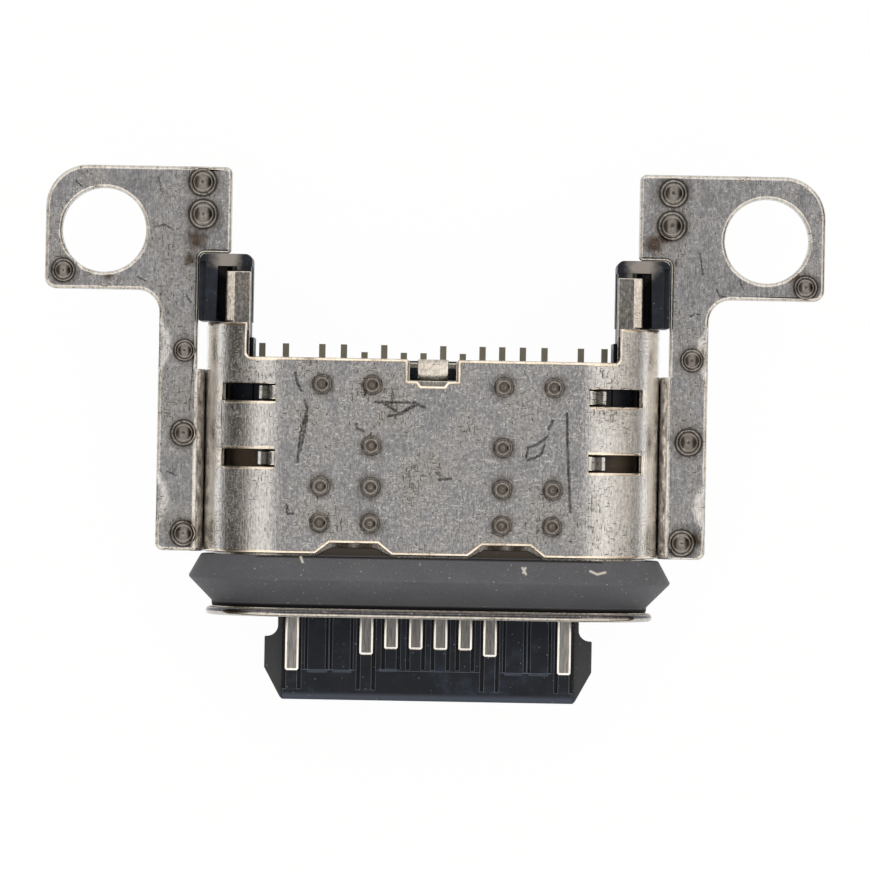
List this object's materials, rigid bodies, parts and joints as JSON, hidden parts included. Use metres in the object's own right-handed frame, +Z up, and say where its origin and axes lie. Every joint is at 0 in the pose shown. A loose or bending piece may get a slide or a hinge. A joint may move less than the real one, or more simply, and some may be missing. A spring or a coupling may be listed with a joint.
{
  "type": "charging port",
  "caption": "Sealed charging port with a flat contact tongue in a steel shell, a rubber ring round the mouth and two screw ears that hold it in a device",
  "frame": {"origin": "midway between the two screw holes, on the underside of the ears", "axes": "X along the row of screw holes, Y away from the plug, Z up out of the face with the shell's weld spots"},
  "size_m": [0.0158, 0.0107, 0.0038],
  "materials": {
    "rolled_steel": "rolled sheet, matt, scuffed",
    "drawn_steel": "drawn sheet, satin",
    "bracket_steel": "stamped sheet, matt",
    "ear_steel": "stamped sheet, matt, heat stained at the welds",
    "seal_rubber": "moulded, dull",
    "housing_plastic": "moulded, fine matt",
    "contact_alloy": "silver-grey plated"
  },
  "bodies": {
    "root": {"outer_shell": "rolled_steel", "inner_shell": "drawn_steel", "saddle_bracket": "bracket_steel", "left_ear_plate": "ear_steel", "right_ear_plate": "ear_steel", "seal_ring": "seal_rubber", "tongue_housing": "housing_plastic", "mid_plate": "drawn_steel", "upper_contact_carrier": "housing_plastic", "lower_contact_carrier": "housing_plastic", "upper_ground_collar": "drawn_steel", "lower_ground_collar": "drawn_steel", "seal_bead": "seal_rubber", "upper_contact_1": "contact_alloy", "upper_contact_2": "contact_alloy", "upper_contact_3": "contact_alloy", "upper_contact_4": "contact_alloy", "upper_contact_5": "contact_alloy", "upper_contact_6": "contact_alloy", "upper_contact_7": "contact_alloy", "upper_contact_8": "contact_alloy", "lower_contact_1": "contact_alloy", "lower_contact_2": "contact_alloy", "lower_contact_3": "contact_alloy", "lower_contact_4": "contact_alloy", "lower_contact_5": "contact_alloy", "lower_contact_6": "contact_alloy", "lower_contact_7": "contact_alloy", "lower_contact_8": "contact_alloy"}
  },
  "joints": []
}
